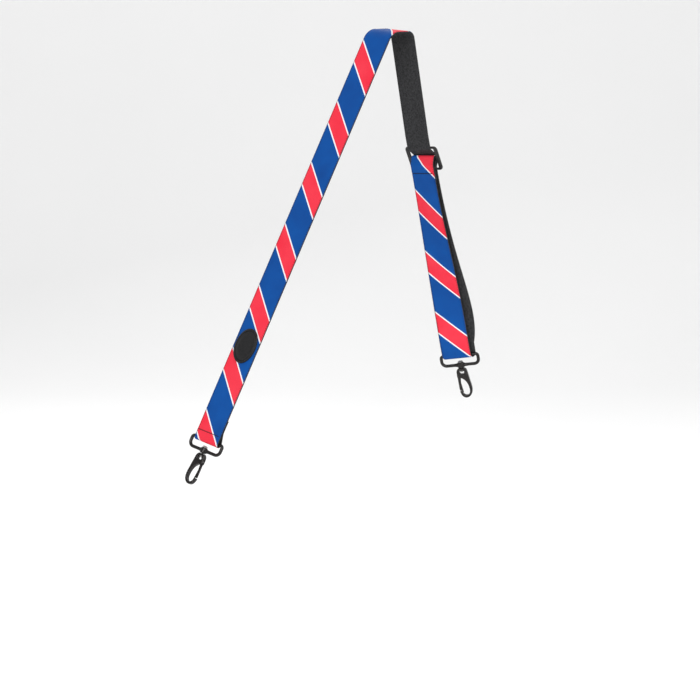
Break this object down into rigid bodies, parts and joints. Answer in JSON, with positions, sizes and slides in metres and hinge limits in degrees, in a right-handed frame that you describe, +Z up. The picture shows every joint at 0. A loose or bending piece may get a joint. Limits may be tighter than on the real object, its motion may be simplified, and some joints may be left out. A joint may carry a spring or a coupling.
{
  "type": "instrument case shoulder strap",
  "caption": "Webbing shoulder strap with a striped ribbon face, an oval patch, a three-bar slider and a swivel snap hook at each end.",
  "frame": {"origin": "under the webbing at the middle of the shoulder bend, where the shoulder bears it", "axes": "+Z up, +X from the left hook to the right hook, -Y to the front, the side that shows the striped left leg"},
  "size_m": [0.4138, 0.0626, 0.5359],
  "materials": {
    "webbing": "woven, matt",
    "ribbon": "printed satin",
    "metal": "black nickel plate, satin",
    "steel": "satin",
    "plastic": "moulded, fine texture",
    "rubber": "moulded, satin",
    "thread": "matt"
  },
  "bodies": {
    "strap": {"webbing_left_leg": "webbing", "ribbon_left_leg": "ribbon", "webbing_upper_leg": "webbing", "ribbon_upper_leg": "ribbon", "left_stitch_row": "thread", "oval_patch": "rubber"},
    "slider": {"slider": "plastic", "webbing_slider_pass": "webbing", "ribbon_slider_pass": "ribbon", "webbing_sewn_end": "webbing", "ribbon_sewn_end": "ribbon", "slider_stitch_row": "thread"},
    "hook_end": {"webbing_hook_fold": "webbing", "ribbon_hook_fold": "ribbon", "webbing_back_ply": "webbing", "ribbon_back_ply": "ribbon", "webbing_front_ply": "webbing", "ribbon_front_ply": "ribbon"},
    "left_loop": {"left_loop": "metal", "left_swivel_post": "steel"},
    "left_hook": {"left_hook": "metal", "left_gate_pin": "steel", "left_gate_spring": "steel"},
    "left_gate": {"left_gate": "metal"},
    "right_loop": {"right_loop": "metal", "right_swivel_post": "steel"},
    "right_hook": {"right_hook": "metal", "right_gate_pin": "steel", "right_gate_spring": "steel"},
    "right_gate": {"right_gate": "metal"}
  },
  "joints": [
    {"name": "slider_slide", "type": "slide", "parent": "strap", "child": "slider", "axis": [-0.1771, 0, 0.9842], "range_m": [-0.25, 0.07], "deforming": ["webbing_upper_leg", "ribbon_upper_leg"]},
    {"name": "hook_end_slide", "type": "slide", "parent": "slider", "child": "hook_end", "axis": [-0.2079, 0, 0.9781], "range_m": [-0.035, 0.125], "deforming": ["webbing_back_ply", "ribbon_back_ply", "webbing_front_ply", "ribbon_front_ply"]},
    {"name": "left_loop_pivot", "type": "hinge", "parent": "strap", "child": "left_loop", "pos_m": [-0.25859, -0.0052, -0.48136], "axis": [-0.351, 0.9197, 0.1758], "range_deg": [-75, 75]},
    {"name": "left_hook_swivel", "type": "hinge", "parent": "left_loop", "child": "left_hook", "pos_m": [-0.26624, -0.0052, -0.49665], "axis": [-0.4478, 0, -0.8942], "continuous": true},
    {"name": "left_gate_hinge", "type": "hinge", "parent": "left_hook", "child": "left_gate", "pos_m": [-0.26877, -0.00961, -0.5059], "axis": [0.8224, 0.3926, -0.4118], "range_deg": [0, 14], "stiffness_Nm_per_rad": 0.004, "springref_deg": -17.19},
    {"name": "right_loop_pivot", "type": "hinge", "parent": "hook_end", "child": "right_loop", "pos_m": [0.10568, 0.00733, -0.4118], "axis": [0.6929, -0.7058, 0.1473], "range_deg": [-75, 75]},
    {"name": "right_hook_swivel", "type": "hinge", "parent": "right_loop", "child": "right_hook", "pos_m": [0.10924, 0.00733, -0.42852], "axis": [0.2079, 0, -0.9781], "continuous": true},
    {"name": "right_gate_hinge", "type": "hinge", "parent": "right_hook", "child": "right_gate", "pos_m": [0.10787, 0.01072, -0.43843], "axis": [-0.6904, -0.7084, -0.1467], "range_deg": [0, 14], "stiffness_Nm_per_rad": 0.004, "springref_deg": -17.19}
  ],
  "couplings": [
    {"joint": "hook_end_slide", "follows": "slider_slide", "ratio": -0.5}
  ]
}
